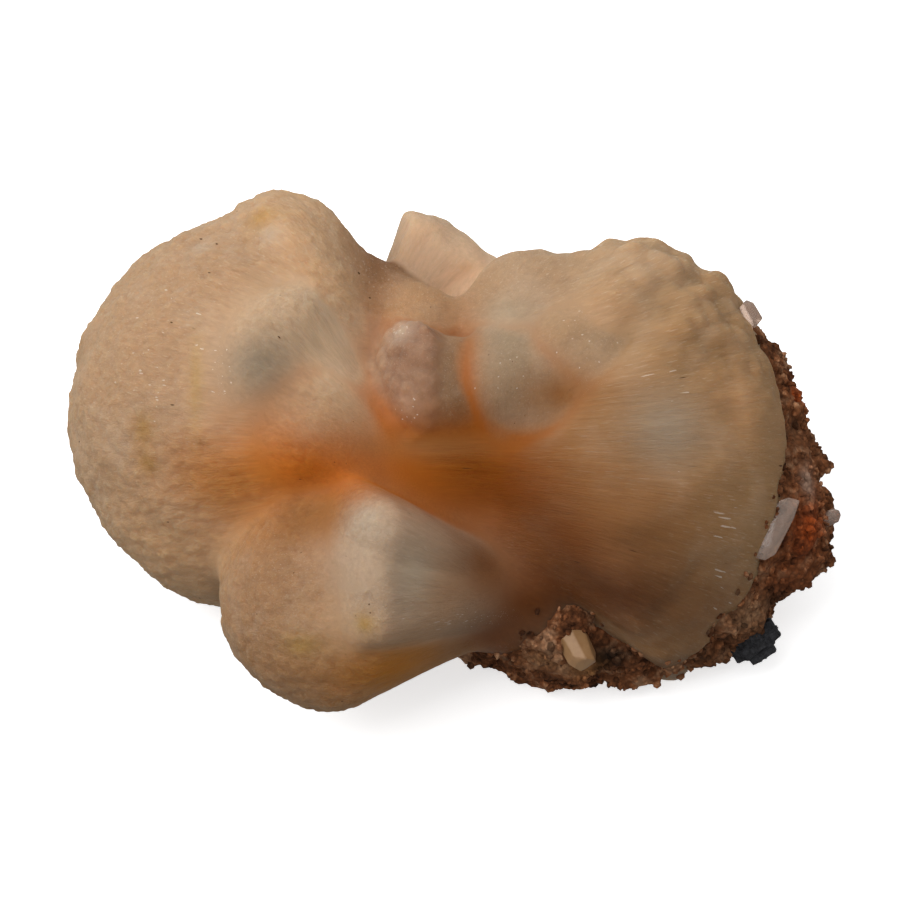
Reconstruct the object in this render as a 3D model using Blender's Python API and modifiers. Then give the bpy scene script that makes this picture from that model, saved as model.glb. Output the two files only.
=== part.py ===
"""A stilbite cluster: bow-tie sheaves of one zeolite, grown together, on the crust of matrix they grew from.

Every sheaf is a bundle of thin crystals that spreads from a narrow waist to a rounded end. All of them overlap,
so they make one solid. The crumbly matrix crust wraps the right-hand end and the underside, and carries a chip
of dark basalt and a few small crystals.

The shapes are written down as the cluster is seen from the front and above, in millimetres from the waist of
the bow tie: (right, up, towards the eye). LEAN_BACK turns that view into the resting position: X right, Y away,
Z up.
"""

import math

import bmesh
import bpy
import numpy as np
from mathutils import Vector, noise
from mathutils.bvhtree import BVHTree

MM = 0.001

# Driving dimensions, in millimetres and degrees
LEAN_BACK = 50.0
WAIST_POINT = (-3.15, 2.88, 28.1)
GAP = 0.7
WELD = 0.02
FLOOR_BLOCK = 300.0
EYE_DISTANCE = 200.0

# Voxel sizes of the skins, and the share of their triangles that stays as facets
CLUSTER_GRAIN = 1.1
SOFT_STEPS = 7
CLUSTER_KEPT = 0.085
CRUST_GRAIN = 1.2
CRUST_KEPT = 0.09
PEBBLE_GRAIN = 0.4
CLEARANCE_KEPT = 0.09
BIG_STAR = 6
SMALL_STAR = 5
PEBBLE_STAR = 2

# root, direction of growth, length, half spread in the view, half spread in depth, waist radius, sharpness of
# the rim, how much shorter the outermost crystals are than the middle ones, in the view and in depth, and the
# section: 2 is an ellipse, and 4 is close to a rectangle
BOW_TIE = {
    "left_fan": ((0, 0, 0), (-55, 11, -9), 57.3, 47, 60, 12, 6, 0.26, 0.5, 2),
    "left_crest": ((0, 0, 0), (-26, 38, 3), 46.5, 10.5, 30, 6, 6, 0.1, 0.3, 2),
    "right_fan": ((0, 0, 0), (55, -6, 6), 55.5, 36, 42, 12, 7, 0.08, 0.3, 2),
    "right_shoulder": ((0, 0, 0), (42, 29, 4), 49.8, 12, 30, 8, 7, 0.12, 0.2, 2),
    "right_top": ((0, 0, 0), (32, 27, 4), 40.6, 10, 32, 8, 7, 0.1, 0.2, 2),
    "right_crest": ((0, 0, 0), (22, 26, 4), 36, 19, 34, 8, 7, 0.1, 0.2, 2),
    "right_keel": ((0, 0, 0), (21, -31, 2), 36.5, 22, 26, 12, 8, 0.1, 0.1, 2),
    "notch_ridge": ((0, 0, 0), (-3, 24, 8), 26.5, 15, 34, 9, 8, 0.1, 0.2, 2),
    "saddle": ((0, 0, 0), (0, -3, 18), 19.5, 75, 45, 8, 4, 0.1, 0.1, 2),
}
SIDE_SHEAVES = {
    "left_lobe": ((-6, -1, 12), (-25, 16.5, 7), 33, 28, 15, 6, 14, 0.12, 0.1, 3),
    "right_lobe": ((9.5, -3, 5), (7.5, 15, 15), 25.5, 29, 24, 6, 10, 0.1, 0.3, 3),
    "right_ledge": ((6, -2, 3), (26, 14, 18), 35, 24, 18, 8, 10, 0.1, 0.3, 3),
    "rear_sheaf": ((-8.6, 15.6, -8), (12.5, 17.5, -5), 23.3, 20, 22, 5, 18, 0.02, 0.12, 4),
    "rear_step": ((0, 11.8, -8), (8.5, 17, -6), 21.6, 18, 22, 6, 12, 0.1, 0.12, 3),
    "front_sheaf": ((16, -24, 4), (-42, 1.2, 13), 49.8, 29, 29, 6, 6, 0.27, 0.3, 2),
    "front_crystal": ((14, -23, 10), (-27, 10.2, 17), 35, 12.5, 16, 5, 14, 0.04, 0.06, 4),
    "front_block": ((14, -23, 10), (-27, 0.4, 17), 33.5, 12, 16, 5, 16, 0.03, 0.04, 4),
    "centre_upper": ((6.5, 11, 11), (-10, 1.2, 5.5), 15, 25, 32, 5, 14, 0.02, 0.05, 4),
    "centre_lower": ((6, 10, 11), (-9, -2, 6), 15, 21, 30, 5, 14, 0.02, 0.05, 4),
    "centre_right": ((-1, 9, 11), (6, -0.6, 8), 12.5, 36, 38, 6, 12, 0.04, 0.1, 4),
}
BLEND = 14
SHOULDER_END = 1.2

# The single crystals of a sheaf show as blades with ends at slightly different heights
BLADES_ACROSS = 8.5
BLADE_STEP = 0.03
BLADE_LEAN = 0.03
BLADE_SHUFFLE = 7.3

# The crust covers the side away from the eye: below, and round the right-hand end
CRUST_TOWARDS = (0.62, -0.18, -0.76)
CRUST_EDGE = 0.50
CRUST_FULL = 0.70
CRUST_FEET = {
    "side_foot": ((0, 0, 0), (59.5, 4, -6), 59, 10, 20, 14, 6, 0.2, 0.2, 2),
    "right_foot": ((0, 0, 0), (60, -12, -6), 65, 11, 22, 14, 6, 0.2, 0.2, 2),
    "lower_foot": ((0, 0, 0), (57, -20, -7), 62.5, 10, 22, 12, 6, 0.2, 0.2, 2),
    "corner_foot": ((0, 0, 0), (50, -29, -8), 61.5, 8, 22, 12, 6, 0.2, 0.2, 2),
    "front_foot": ((0, 0, 0), (27, -37, -10), 47.5, 17, 30, 14, 6, 0.2, 0.2, 2),
    "middle_foot": ((0, 0, 0), (18, -24, -24), 44, 36, 36, 16, 6, 0.2, 0.2, 2),
}
CRUST_RAGGED = 0.10
CRUST_RAGS_ACROSS = 4.0
CRUST_TUCKED_IN = -0.6
CRUST_DEPTH = 7.0
CRUST_LUMP = 4.0
CRUST_LUMPS_ACROSS = 9.0

# Small pieces held in the crust: where they show in the view, how deep their middle is sunk, their long axis,
# and half their sizes along it, across it and in depth
BASALT_CHIP = ((50.5, -30.5), 0.5, (3, 2, 1), (3.6, 3.0, 2.8))
SMALL_CRYSTALS = {
    "clear_crystal_top": ((48.5, 20.0), 0.2, (1, -2, 0), (2.4, 1.6, 1.5)),
    "clear_crystal_side": ((52.0, -13.0), 0.1, (3, 5, -1), (4.6, 1.6, 1.4)),
    "clear_crystal_tip": ((61.8, -11.5), 0.2, (2, 1, 0), (1.8, 1.4, 1.4)),
    "stub_crystal": ((22.5, -30.5), 0.2, (1, -2, 1), (3.2, 2.2, 2.2)),
}
PEBBLE_ROUGHNESS = 0.18


def unit(vector):
    vector = np.asarray(vector, float)
    return vector / np.linalg.norm(vector)


def to_world(points):
    """Turns (right, up, towards the eye) from the waist, in millimetres, into X, Y, Z in metres."""
    lean = math.radians(LEAN_BACK)
    right, up, out = np.moveaxis(np.asarray(points, float), -1, 0)
    away = up * math.sin(lean) - out * math.cos(lean)
    height = up * math.cos(lean) + out * math.sin(lean)
    return (np.stack([right, away, height], axis=-1) + WAIST_POINT) * MM


def sampled(points, read):
    """One of Blender's noises, read at every point."""
    return np.array([read(Vector(p)) for p in points])


def blades(directions):
    """Three random values for every direction, which stay the same over one blade of the bundle."""
    shuffled = lambda p: noise.cell_vector(noise.voronoi(p)[1][0] * BLADE_SHUFFLE)
    return sampled(directions * BLADES_ACROSS, shuffled) - 0.5


def reach(directions, spec):
    """How far a sheaf goes from its root in each direction: a rounded end on flanks that narrow to the waist."""
    _, growth, length, spread, depth, waist, rim, shoulder, brow, corner = spec
    along = unit(growth)
    across = unit(np.cross((0.0, 0.0, 1.0), along))
    over = np.cross(along, across)
    cosine = np.clip(directions @ along, -1, 1)
    turn = np.arctan2(directions @ over, directions @ across)
    half = np.abs(np.cos(turn) / math.radians(spread)) ** corner
    half = (half + np.abs(np.sin(turn) / math.radians(depth)) ** corner) ** (-1 / corner)
    drop = shoulder * np.cos(turn) ** 2 + brow * np.sin(turn) ** 2
    end = length * (1 - drop * np.minimum(np.arccos(cosine) / half, SHOULDER_END) ** 2)
    opening = 1 - cosine**2 - (np.tan(half) * np.maximum(cosine, 0)) ** 2
    flank = waist / np.sqrt(np.maximum(opening, 1e-6))
    return (end ** -float(rim) + flank ** -float(rim)) ** (-1 / rim)


def blended_reach(directions, specs):
    """Several sheaves from one root, run together where they meet."""
    return sum(reach(directions, spec) ** BLEND for spec in specs) ** (1 / BLEND)


def bladed_reach(directions, specs):
    """The same, with the blades' own ends and edges."""
    own = blades(directions)
    leaning = directions + BLADE_LEAN * own
    leaning /= np.linalg.norm(leaning, axis=1)[:, None]
    return blended_reach(leaning, specs) * (1 + BLADE_STEP * own[:, 0])


def crust_reach(directions, specs):
    """The bow tie's own surface, plus lumps of crust on the side that the crust covers."""
    lumps = sampled(directions * CRUST_LUMPS_ACROSS, lambda p: noise.voronoi(p)[0][0])
    ragged = sampled(directions * CRUST_RAGS_ACROSS, noise.noise)
    cover = directions @ unit(CRUST_TOWARDS) - CRUST_EDGE + CRUST_RAGGED * ragged
    share = np.clip(cover / (CRUST_FULL - CRUST_EDGE), CRUST_TUCKED_IN, 1)
    wrapped = blended_reach(directions, specs) + CRUST_DEPTH * share
    feet = blended_reach(directions, CRUST_FEET.values())
    return np.maximum(wrapped, feet) + CRUST_LUMP * (0.5 - lumps) * ((share > 0) | (feet > wrapped))


def star_mesh(shape, specs, read_reach, subdivisions):
    """Adds one closed star-shaped surface to the bmesh, from an icosphere of directions round the root."""
    made = bmesh.ops.create_icosphere(shape, subdivisions=subdivisions, radius=1)["verts"]
    directions = np.array([v.co for v in made], float)
    directions /= np.linalg.norm(directions, axis=1)[:, None]
    points = to_world(np.asarray(specs[0][0], float) + directions * read_reach(directions, specs)[:, None])
    for vertex, point in zip(made, points):
        vertex.co = point


def new_object(name, shape, collection):
    mesh = bpy.data.meshes.new(name)
    shape.to_mesh(mesh)
    shape.free()
    made = bpy.data.objects.new(name, mesh)
    collection.objects.link(made)
    return made


def as_helper(helper):
    helper.hide_render = True
    helper.display_type = "WIRE"
    return helper


def add_remesh(target, grain):
    remesh = target.modifiers.new("one skin", "REMESH")
    remesh.mode = "VOXEL"
    remesh.voxel_size = grain * MM


def add_smooth(target, steps):
    target.modifiers.new("worn soft", "SMOOTH").iterations = steps


def add_decimate(target, kept):
    target.modifiers.new("facets", "DECIMATE").ratio = kept


def add_cut(target, cutter):
    cut = target.modifiers.new("cut by " + cutter.name, "BOOLEAN")
    cut.operation = "DIFFERENCE"
    cut.solver = "EXACT"
    cut.object = cutter


def settled(target):
    """Replaces the modifiers by their result, and keeps only its largest piece."""
    graph = bpy.context.evaluated_depsgraph_get()
    mesh = bpy.data.meshes.new_from_object(target.evaluated_get(graph))
    target.modifiers.clear()
    shape = bmesh.new()
    shape.from_mesh(mesh)
    bmesh.ops.remove_doubles(shape, verts=shape.verts, dist=WELD * MM)
    waiting = set(shape.verts)
    islands = []
    while waiting:
        island, edge = set(), [waiting.pop()]
        while edge:
            vertex = edge.pop()
            island.add(vertex)
            near = {e.other_vert(vertex) for e in vertex.link_edges} & waiting
            waiting -= near
            edge.extend(near)
        islands.append(island)
    largest = max(islands, key=len)
    bmesh.ops.delete(shape, geom=[v for v in shape.verts if v not in largest], context="VERTS")
    shape.to_mesh(mesh)
    shape.free()
    target.data = mesh
    return target


def make_floor_cutter(collection):
    """A block whose top is the plane that the cluster rests on."""
    shape = bmesh.new()
    bmesh.ops.create_cube(shape, size=FLOOR_BLOCK * MM)
    bmesh.ops.translate(shape, verts=shape.verts, vec=(0, 0, -FLOOR_BLOCK / 2 * MM))
    return as_helper(new_object("floor_cutter", shape, collection))


def make_cluster(collection, floor):
    shape = bmesh.new()
    star_mesh(shape, list(BOW_TIE.values()), bladed_reach, BIG_STAR)
    for spec in SIDE_SHEAVES.values():
        star_mesh(shape, [spec], bladed_reach, SMALL_STAR)
    cluster = new_object("stilbite_cluster", shape, collection)
    add_remesh(cluster, CLUSTER_GRAIN)
    add_smooth(cluster, SOFT_STEPS)
    add_decimate(cluster, CLUSTER_KEPT)
    add_cut(cluster, floor)
    return settled(cluster)


def make_clearance(source, grain, collection):
    """A slightly swollen copy, which cuts room for that piece out of its neighbours."""
    clearance = bpy.data.objects.new(source.name + "_clearance", source.data.copy())
    collection.objects.link(clearance)
    swell = clearance.modifiers.new("swell", "DISPLACE")
    swell.mid_level = 0
    swell.strength = GAP * MM
    add_remesh(clearance, grain)
    add_decimate(clearance, CLEARANCE_KEPT)
    return as_helper(settled(clearance))


def depth_seen(place, surfaces):
    """How far towards the eye the nearest of these surfaces lies, at one place in the view."""
    graph = bpy.context.evaluated_depsgraph_get()
    eye, waist = (Vector(to_world((*place, out))) for out in (EYE_DISTANCE, 0.0))
    found = [BVHTree.FromObject(surface, graph).ray_cast(eye, waist - eye)[3] for surface in surfaces]
    return EYE_DISTANCE - min(distance for distance in found if distance is not None) / MM


def make_pebble(name, spec, collection, surfaces, clearance):
    """A small stone or crystal: a coarse ball with a few flat faces, stretched along its own axis."""
    place, sunk, along, sizes = spec
    centre = (*place, depth_seen(place, surfaces) - sunk)
    axis = unit(along)
    across = unit(np.cross((0.0, 0.0, 1.0), axis))
    frame = np.array([axis, across, np.cross(axis, across)])
    shape = bmesh.new()
    made = bmesh.ops.create_icosphere(shape, subdivisions=PEBBLE_STAR, radius=1)["verts"]
    ball = np.array([v.co for v in made])
    uneven = 1 + PEBBLE_ROUGHNESS * sampled(2 * ball + centre, noise.noise)
    for vertex, point in zip(made, to_world(centre + (ball * uneven[:, None] * sizes) @ frame)):
        vertex.co = point
    pebble = new_object(name, shape, collection)
    add_cut(pebble, clearance)
    return settled(pebble)


def make_crust(collection):
    shape = bmesh.new()
    star_mesh(shape, list(BOW_TIE.values()), crust_reach, BIG_STAR)
    crust = new_object("matrix_crust", shape, collection)
    add_remesh(crust, CRUST_GRAIN)
    add_decimate(crust, CRUST_KEPT)
    return settled(crust)


def set_material(target, name, colour, roughness):
    material = bpy.data.materials.new(name)
    material.use_nodes = True
    shader = material.node_tree.nodes["Principled BSDF"]
    shader.inputs["Base Color"].default_value = (*colour, 1)
    shader.inputs["Roughness"].default_value = roughness
    shader.inputs["Metallic"].default_value = 0
    target.data.materials.clear()
    target.data.materials.append(material)


def new_collection(name):
    collection = bpy.data.collections.new(name)
    bpy.context.scene.collection.children.link(collection)
    return collection


def main():
    for old in list(bpy.data.objects):
        bpy.data.objects.remove(old)
    pieces = new_collection("stilbite_specimen")
    cutters = new_collection("cutters")
    floor = make_floor_cutter(cutters)
    cluster = make_cluster(pieces, floor)
    set_material(cluster, "peach stilbite", (0.55, 0.33, 0.18), 0.45)
    room = make_clearance(cluster, CRUST_GRAIN, cutters)
    crust = make_crust(pieces)
    grown_on = (cluster, crust)
    chip = make_pebble("basalt_chip", BASALT_CHIP, pieces, grown_on, room)
    set_material(chip, "black basalt", (0.02, 0.02, 0.02), 0.8)
    small = [make_pebble(name, spec, pieces, grown_on, room) for name, spec in SMALL_CRYSTALS.items()]
    for crystal in small:
        set_material(crystal, "colourless crystal", (0.62, 0.5, 0.42), 0.3)
    for cutter in [floor, room] + [make_clearance(piece, PEBBLE_GRAIN, cutters) for piece in (chip, *small)]:
        add_cut(crust, cutter)
    settled(crust)
    set_material(crust, "iron-stained matrix", (0.25, 0.12, 0.07), 0.9)


main()
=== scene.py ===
"""A stilbite bow-tie cluster on its crust of iron-stained matrix, lying on a white table.

Shapes are written as the specimen is seen in the photograph: (right, up, towards the eye), in millimetres
from the waist of the bow tie. to_world turns them into X right, Y away, Z up, in metres.
"""

import math

import bmesh
import bpy
import numpy as np
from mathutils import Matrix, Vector, noise
from mathutils.bvhtree import BVHTree


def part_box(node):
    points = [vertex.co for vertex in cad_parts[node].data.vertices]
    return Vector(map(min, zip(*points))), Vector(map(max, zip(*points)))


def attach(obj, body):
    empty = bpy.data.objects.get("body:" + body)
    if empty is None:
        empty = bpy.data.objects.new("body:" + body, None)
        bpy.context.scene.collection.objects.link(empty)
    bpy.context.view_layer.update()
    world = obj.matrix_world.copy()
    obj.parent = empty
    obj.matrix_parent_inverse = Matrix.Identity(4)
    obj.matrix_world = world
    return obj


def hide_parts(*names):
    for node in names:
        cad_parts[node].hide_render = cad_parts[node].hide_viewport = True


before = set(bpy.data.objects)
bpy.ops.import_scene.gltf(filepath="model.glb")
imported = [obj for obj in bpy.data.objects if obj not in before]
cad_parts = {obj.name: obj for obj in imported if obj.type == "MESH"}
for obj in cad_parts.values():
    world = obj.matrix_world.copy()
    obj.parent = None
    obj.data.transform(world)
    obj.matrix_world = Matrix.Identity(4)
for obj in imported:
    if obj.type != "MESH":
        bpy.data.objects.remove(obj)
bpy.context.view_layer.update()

# The stilbite cluster: sheaves of thin pearly blades, each fanned out from a narrow root. Two big fans
# share one root and make the bow tie, and smaller sheaves grew over its sides and through it, so all are
# one body. The fans end in domes of packed blade ends, and their flanks show the blades' long edges.
MM = 0.001
LEAN_BACK = math.radians(50)
WAIST_POINT = np.array((-3.15, 2.88, 28.1))

# root, direction of growth, length, half spread in the view and in depth (degrees), waist radius,
# sharpness of the rim, how much shorter the outermost blades are than the middle ones, in the view and in
# depth, and the form of the section across the blades: 2 is an ellipse, 4 is nearly a rectangle
BOW_TIE = {
    "left_fan": ((0, 0, 0), (-55, 11, -9), 57.3, 47, 60, 12, 6, 0.26, 0.5, 2),
    "left_crest": ((0, 0, 0), (-26, 38, 3), 46.5, 10.5, 30, 6, 6, 0.1, 0.3, 2),
    "right_fan": ((0, 0, 0), (55, -6, 6), 55.5, 36, 42, 12, 7, 0.08, 0.3, 2),
    "right_shoulder": ((0, 0, 0), (42, 29, 4), 49.8, 12, 30, 8, 7, 0.12, 0.2, 2),
    "right_top": ((0, 0, 0), (32, 27, 4), 40.6, 10, 32, 8, 7, 0.1, 0.2, 2),
    "right_crest": ((0, 0, 0), (22, 26, 4), 36, 19, 34, 8, 7, 0.1, 0.2, 2),
    "right_keel": ((0, 0, 0), (21, -31, 2), 36.5, 22, 26, 12, 8, 0.1, 0.1, 2),
    "notch_ridge": ((0, 0, 0), (-3, 24, 8), 26.5, 15, 34, 9, 8, 0.1, 0.2, 2),
    "saddle": ((0, 0, 0), (0, -3, 18), 19.5, 75, 45, 8, 4, 0.1, 0.1, 2),
}
SIDE_SHEAVES = {
    "left_lobe": ((-6, -1, 10), (-25, 16.5, 8.5), 33, 28, 15, 6, 14, 0.12, 0.1, 3),
    "left_lobe_foot": ((-6, -4, 13), (-20, 10, 7), 26, 26, 16, 7, 6, 0.2, 0.2, 3),
    "right_lobe": ((9.5, -3, 5), (7.5, 15, 15), 25.5, 29, 24, 6, 10, 0.1, 0.3, 3),
    "right_ledge": ((6, -2, 3), (26, 14, 18), 35, 24, 18, 8, 10, 0.1, 0.3, 3),
    "rear_sheaf": ((-8.6, 15.6, -8), (12.5, 17.5, -5), 23.3, 20, 22, 5, 18, 0.02, 0.12, 4),
    "rear_step": ((0, 11.8, -8), (8.5, 17, -6), 21.6, 18, 22, 6, 12, 0.1, 0.12, 3),
    "front_sheaf": ((16, -24, 4), (-42, 1.2, 13), 49.8, 29, 29, 6, 6, 0.27, 0.3, 2),
    "front_crystal": ((14, -23, 10), (-27, 10.2, 17), 35, 12.5, 16, 5, 14, 0.04, 0.06, 4),
    "front_block": ((14, -23, 10), (-27, 0.4, 17), 33.5, 12, 16, 5, 16, 0.03, 0.04, 4),
    "centre_block": ((6.2, 10.5, 11), (-10, -0.4, 5.7), 15.2, 34, 31, 5, 14, 0.02, 0.05, 4),
    "centre_right": ((-1, 9, 11), (6, -0.6, 8), 12.5, 36, 38, 6, 12, 0.04, 0.1, 4),
}
# How far these sheaves have kept their sharp edges, while the others are worn soft
CRISP = {
    "rear_sheaf": 0.97, "rear_step": 0.9, "front_crystal": 0.3, "front_block": 0.3, "centre_block": 0.97,
    "centre_right": 0.9,
}
BOW_SUBDIVISIONS = 8
SHEAF_SUBDIVISIONS = 7
# How sharply the sheaves of the bow tie meet, in form and in tint, over how many millimetres a side sheaf's
# share fades, and how sharply a dome of blade ends changes to a flank
BLEND = 14
TINT_BLEND = 7
SHARE_SOFTNESS = 1.6
END_SHARPNESS = 8
# The shoulder's drop stops growing this far out, as a share of the half spread
SHOULDER_END = 1.2
# Blade bundles: how many to one radian, how far each stands proud of the next and leans aside, as shares
# of its length, and a stretch that gives each its own random values
BLADES_ACROSS = 8.5
BLADE_STEP = 0.014
BLADE_LEAN = 0.03
BLADE_SHUFFLE = 7.3
# Keeps divisions clear of zero
TINY = 1e-6

# Widths and heights in millimetres of the bumps among the blades, of the granular ends on the left-hand
# dome, of the scallops on the right-hand rim, and of the rugged block over the waist
GRAINS = ((5.0, 0.26), (2.1, 0.24), (1.0, 0.2))
DOME_GRAINS = ((2.2, 0.42), (0.95, 0.24))
RIM_SCALLOPS = (4.4, 1.5)
RUGGED_BLOCK = (2.4, 0.9)
# The bumps are lower on the flanks than on the domes, and lower in the right-hand half
FLANK_SHARE = 0.4
CALMER_BY = 0.5
# Places in the view where the relief changes, each with the width of the change, in millimetres
CALMER_RIGHT_OF = (5, 4)
DOME_ENDS_AT = (-8, 4)
RIM_FROM = (41, 1.5)
RIM_ABOVE = (10, 3)
RIM_RIGHT_OF = (12, 2)
RIM_STRETCH = 1.25
# Wear: squares of the first skin, rounds of smoothing, and its strength everywhere and within this region
# round the waist. SKIN_GRAIN is the width of the squares of the finished skin.
SOFT_GRAIN = 0.8
SOFT_STEPS = 90
SMOOTHING = 0.5
WEAR_ANYWHERE = 0.03
WEAR_AT_WAIST = 0.60
WAIST_REGION = 38.0
WAIST_SHARPNESS = 4
SKIN_GRAIN = 0.42
MOST_TRIANGLES = 190000


def unit(vector):
    vector = np.asarray(vector, float)
    return vector / np.linalg.norm(vector)


def to_world(points):
    """Turns (right, up, towards the eye) from the waist, in millimetres, into X, Y, Z in metres."""
    right, up, out = np.moveaxis(np.asarray(points, float), -1, 0)
    away = up * math.sin(LEAN_BACK) - out * math.cos(LEAN_BACK)
    height = up * math.cos(LEAN_BACK) + out * math.sin(LEAN_BACK)
    return (np.stack([right, away, height], axis=-1) + WAIST_POINT) * MM


def to_view(points):
    """The other way round: X, Y, Z in metres into (right, up, towards the eye) in millimetres."""
    right, away, height = np.moveaxis(np.asarray(points, float) / MM - WAIST_POINT, -1, 0)
    up = away * math.sin(LEAN_BACK) + height * math.cos(LEAN_BACK)
    out = height * math.sin(LEAN_BACK) - away * math.cos(LEAN_BACK)
    return np.stack([right, up, out], axis=-1)


def sampled(points, read):
    """One of Blender's noises, read at every point."""
    return np.array([read(Vector(p)) for p in points])


def cell_height(points):
    """A rounded bump for every cell of a random foam: 0.5 in its middle, negative in the creases."""
    return 0.5 - sampled(points, lambda p: noise.voronoi(p)[0][0])


def blades(directions):
    """Three random values for every direction, which stay the same over one blade of the bundle."""
    def of_blade(place):
        return noise.cell_vector(noise.voronoi(place)[1][0] * BLADE_SHUFFLE)

    return sampled(directions * BLADES_ACROSS, of_blade) - 0.5


def reach_parts(directions, spec):
    """How far the rounded end and the narrowing flank of a sheaf lie from its root in each direction."""
    _, growth, length, spread, depth, waist, _, shoulder, brow, corner = spec
    along = unit(growth)
    across = unit(np.cross((0.0, 0.0, 1.0), along))
    over = np.cross(along, across)
    cosine = np.clip(directions @ along, -1, 1)
    turn = np.arctan2(directions @ over, directions @ across)
    half = np.abs(np.cos(turn) / math.radians(spread)) ** corner
    half = (half + np.abs(np.sin(turn) / math.radians(depth)) ** corner) ** (-1 / corner)
    drop = shoulder * np.cos(turn) ** 2 + brow * np.sin(turn) ** 2
    end = length * (1 - drop * np.minimum(np.arccos(cosine) / half, SHOULDER_END) ** 2)
    opening = 1 - cosine**2 - (np.tan(half) * np.maximum(cosine, 0)) ** 2
    return end, waist / np.sqrt(np.maximum(opening, TINY))


def reach(directions, spec):
    end, flank = reach_parts(directions, spec)
    rim = float(spec[6])
    return (end**-rim + flank**-rim) ** (-1 / rim)


def blended_reach(directions, specs):
    """Several sheaves from one root, run together where they meet."""
    return sum(reach(directions, spec) ** BLEND for spec in specs) ** (1 / BLEND)


def bladed_reach(directions, specs):
    """The same, with the blades' own ends and edges."""
    own = blades(directions)
    leaning = directions + BLADE_LEAN * own
    leaning /= np.linalg.norm(leaning, axis=1)[:, None]
    return blended_reach(leaning, specs) * (1 + BLADE_STEP * own[:, 0])


def star_mesh(shape, specs, read_reach, subdivisions):
    """Adds one closed star-shaped surface to the bmesh, from an icosphere of directions round the root."""
    made = bmesh.ops.create_icosphere(shape, subdivisions=subdivisions, radius=1)["verts"]
    directions = np.array([v.co for v in made], float)
    directions /= np.linalg.norm(directions, axis=1)[:, None]
    points = to_world(np.asarray(specs[0][0], float) + directions * read_reach(directions, specs)[:, None])
    for vertex, point in zip(made, points):
        vertex.co = point


def new_object(name, shape):
    mesh = bpy.data.meshes.new(name)
    shape.to_mesh(mesh)
    shape.free()
    made = bpy.data.objects.new(name, mesh)
    bpy.context.scene.collection.objects.link(made)
    return made


def settle(target):
    """Replaces the modifiers by their result."""
    graph = bpy.context.evaluated_depsgraph_get()
    mesh = bpy.data.meshes.new_from_object(target.evaluated_get(graph))
    target.modifiers.clear()
    target.data = mesh


def remesh(target, grain):
    """One closed skin over everything in the mesh, of squares as wide as the grain."""
    skin = target.modifiers.new("one skin", "REMESH")
    skin.mode = "VOXEL"
    skin.voxel_size = grain * MM
    settle(target)


def read_edges(mesh):
    ends = np.empty(len(mesh.edges) * 2, np.int32)
    mesh.edges.foreach_get("vertices", ends)
    return ends.reshape(-1, 2)


def wear_soft(target, steps, strength):
    """Rounds the creases and rims off, each point by its own strength from 0 to 1."""
    ends = read_edges(target.data)
    points = read_points(target.data)
    count = np.maximum(np.bincount(ends.ravel(), minlength=len(points)), 1)[:, None]
    for _ in range(steps):
        near = np.stack([
            np.bincount(ends[:, 0], points[ends[:, 1], axis], len(points))
            + np.bincount(ends[:, 1], points[ends[:, 0], axis], len(points))
            for axis in range(3)
        ], axis=1) / count
        points += (near - points) * (SMOOTHING * strength)[:, None]
    write_points(target.data, points)


def thin_out(target, most_triangles):
    triangles = sum(len(face.vertices) - 2 for face in target.data.polygons)
    if triangles > most_triangles:
        target.modifiers.new("thinned", "DECIMATE").ratio = most_triangles / triangles
        settle(target)


def cut_at_floor(target):
    """Cuts the piece off flat on the plane that the specimen rests on."""
    shape = bmesh.new()
    shape.from_mesh(target.data)
    everything = shape.verts[:] + shape.edges[:] + shape.faces[:]
    bmesh.ops.bisect_plane(shape, geom=everything, plane_co=(0, 0, 0), plane_no=(0, 0, 1), clear_inner=True)
    bmesh.ops.holes_fill(shape, edges=[edge for edge in shape.edges if edge.is_boundary])
    shape.to_mesh(target.data)
    shape.free()


def keep_largest(target):
    """Leaves only the largest of the mesh's separate bodies."""
    mesh = target.data
    ends = read_edges(mesh)
    label = np.arange(len(mesh.vertices))
    while True:
        lowest = np.minimum(label[ends[:, 0]], label[ends[:, 1]])
        following = label.copy()
        np.minimum.at(following, ends[:, 0], lowest)
        np.minimum.at(following, ends[:, 1], lowest)
        following = following[following]
        if (following == label).all():
            break
        label = following
    names, sizes = np.unique(label, return_counts=True)
    shape = bmesh.new()
    shape.from_mesh(mesh)
    stray = label != names[np.argmax(sizes)]
    bmesh.ops.delete(shape, geom=[v for v, drop in zip(shape.verts, stray) if drop], context="VERTS")
    shape.to_mesh(mesh)
    shape.free()


def read_points(mesh):
    points = np.empty(len(mesh.vertices) * 3, np.float32)
    mesh.vertices.foreach_get("co", points)
    return points.reshape(-1, 3).astype(float)


def read_normals(mesh):
    normals = np.empty(len(mesh.vertices) * 3, np.float32)
    mesh.vertex_normals.foreach_get("vector", normals)
    return normals.reshape(-1, 3).astype(float)


def write_points(mesh, points):
    mesh.vertices.foreach_set("co", np.asarray(points, np.float32).ravel())
    mesh.update()


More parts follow.
